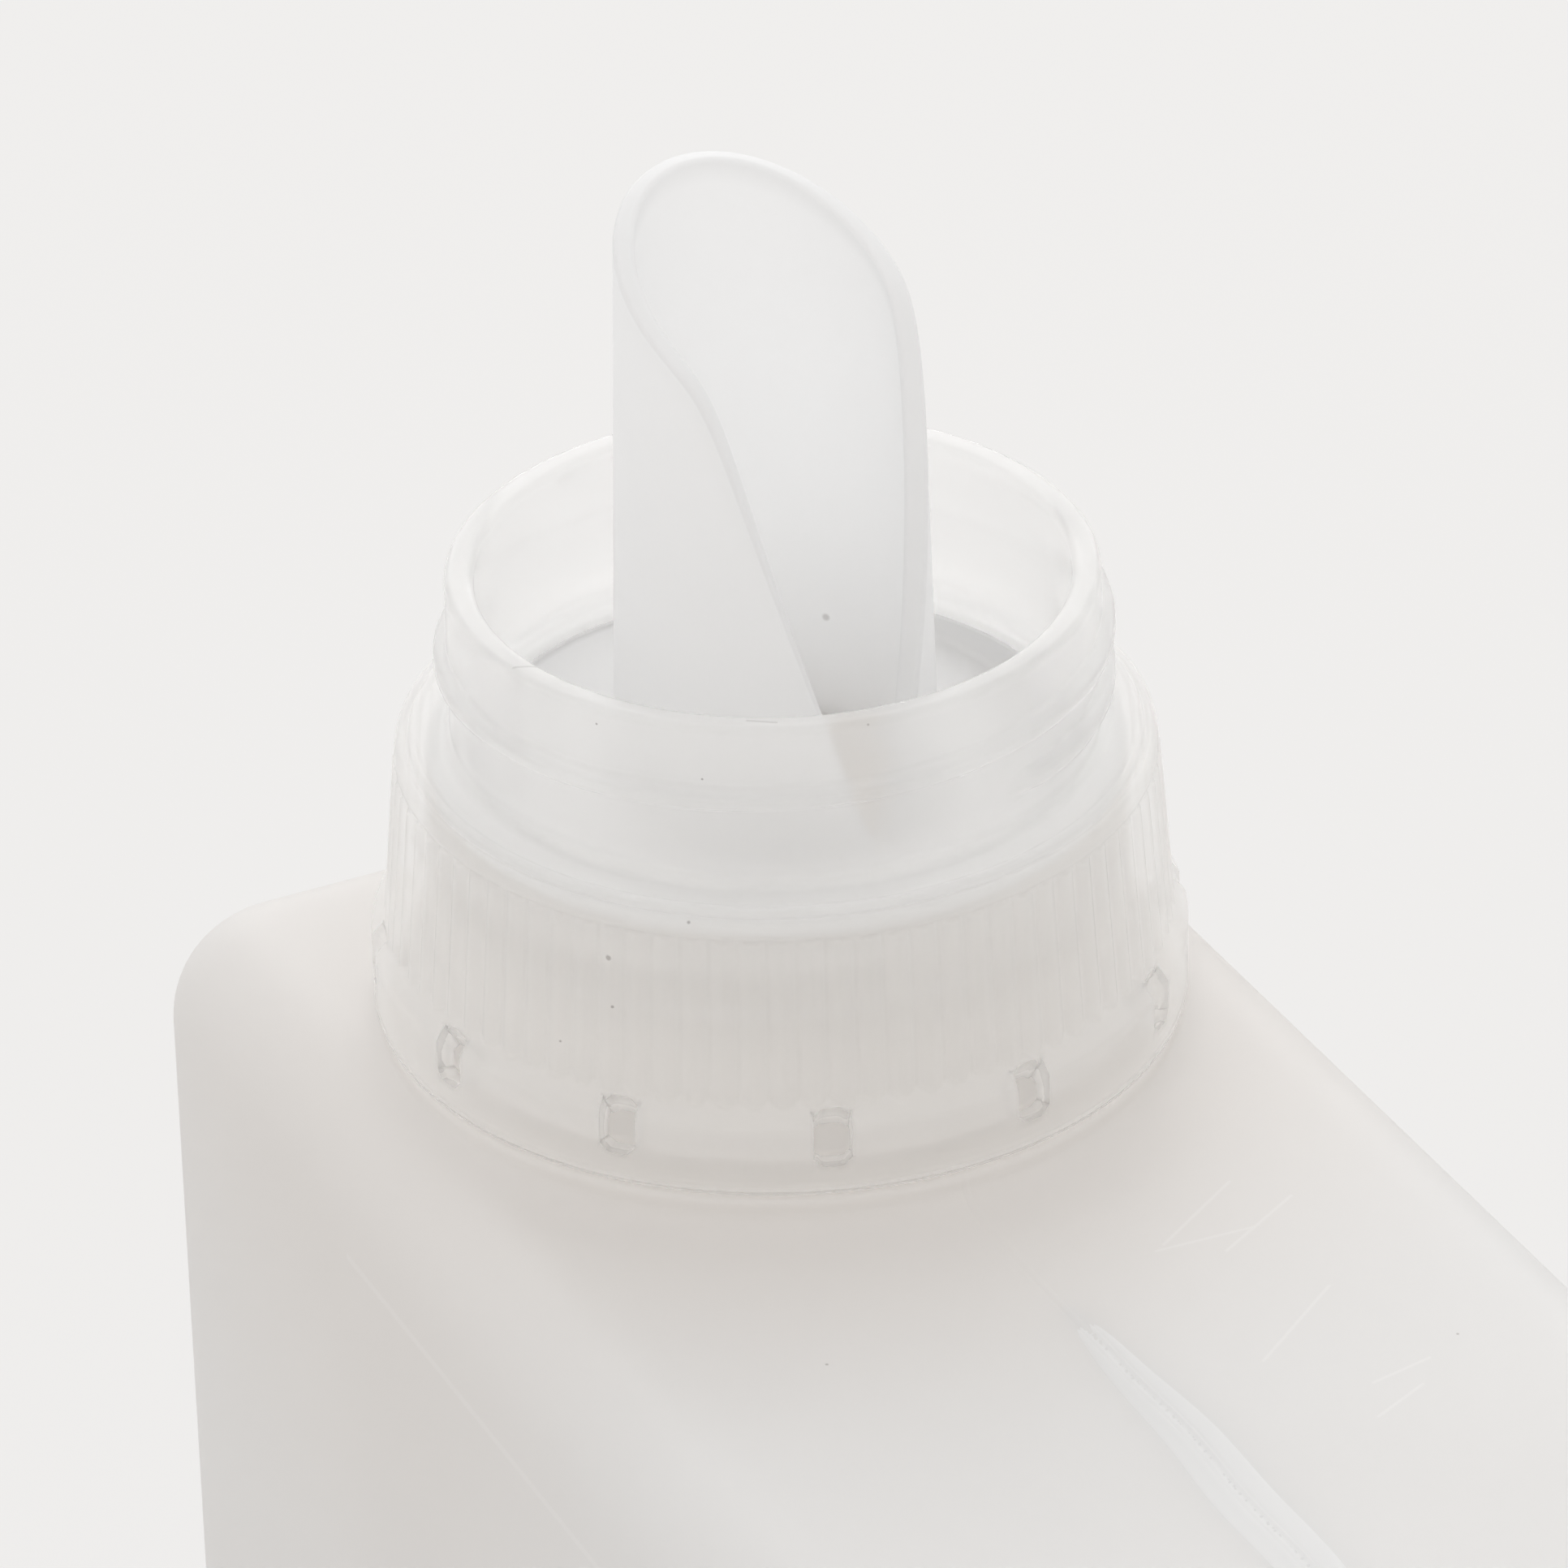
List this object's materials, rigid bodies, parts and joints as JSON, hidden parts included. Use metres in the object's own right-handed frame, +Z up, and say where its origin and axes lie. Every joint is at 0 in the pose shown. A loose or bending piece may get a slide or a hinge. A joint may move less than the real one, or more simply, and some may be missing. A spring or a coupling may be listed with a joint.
{
  "type": "refill container",
  "caption": "Rectangular translucent refill bottle with an offset neck, a screwed ribbed pouring collar and a drain-back scoop spout.",
  "frame": {"origin": "middle of the bottle's footprint, on the surface it stands on", "axes": "+Z up along the neck, +X along the bottle's length away from the neck, +Y across its thickness"},
  "size_m": [0.15, 0.075, 0.2335],
  "materials": {
    "milky_bottle": "translucent blow-moulded polyethylene, satin",
    "clear_collar": "translucent clear polypropylene, glossy",
    "milky_spout": "milky polyethylene, fine satin"
  },
  "bodies": {
    "bottle": {"bottle": "milky_bottle"},
    "spout": {"spout_insert": "milky_spout"},
    "collar": {"pouring_collar": "clear_collar"}
  },
  "joints": [
    {"name": "spout_lift", "type": "slide", "parent": "bottle", "child": "spout", "axis": [0, 0, 1], "range_m": [0, 0.0065]},
    {"name": "collar_turn", "type": "hinge", "parent": "spout", "child": "collar", "pos_m": [-0.036, 0, 0.17], "axis": [0, 0, 1], "range_deg": [0, 540]}
  ],
  "couplings": [
    {"joint": "spout_lift", "follows": "collar_turn", "m_per_rad": 0.00066845}
  ]
}
